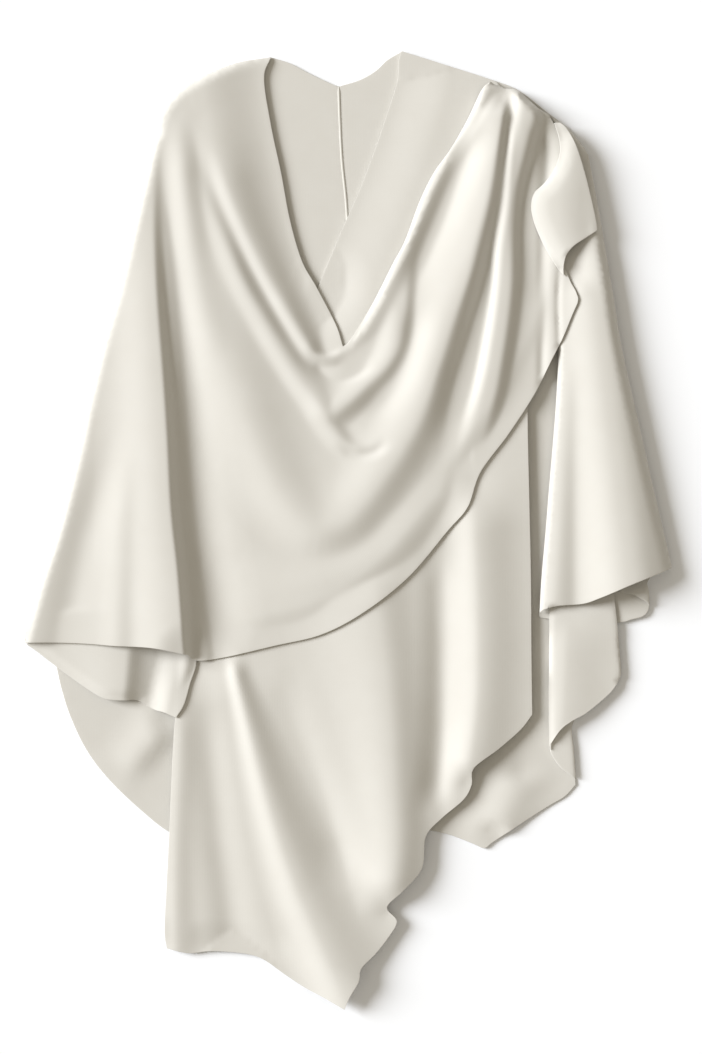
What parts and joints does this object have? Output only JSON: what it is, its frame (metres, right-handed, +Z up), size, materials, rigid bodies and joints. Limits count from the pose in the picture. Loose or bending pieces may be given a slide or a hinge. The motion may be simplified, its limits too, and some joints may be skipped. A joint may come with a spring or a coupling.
{
  "type": "shawl wrap",
  "caption": "Cream wrap of two joined lengths laid flat, one front thrown across the body in a draped cowl and gathered over the shoulder, with wide sleeves and a pointed lower front.",
  "frame": {"origin": "centre of the bounding box, on the surface that the wrap lies on", "axes": "+Y runs from the hem to the neck, +X to the viewer's right as the wrap is seen from above, +Z up from the surface"},
  "size_m": [0.6835, 1.0091, 0.0264],
  "materials": {
    "ivory_cloth": "soft matte double-faced knit"
  },
  "bodies": {
    "root": {"back_left_half": "ivory_cloth", "back_right_half": "ivory_cloth", "left_front": "ivory_cloth", "left_sleeve_back": "ivory_cloth", "right_hem_under": "ivory_cloth", "right_hem_upper": "ivory_cloth", "right_sleeve_back": "ivory_cloth", "right_roll_front": "ivory_cloth", "right_sleeve": "ivory_cloth", "thrown_front": "ivory_cloth", "shoulder_cascade": "ivory_cloth"}
  },
  "joints": []
}
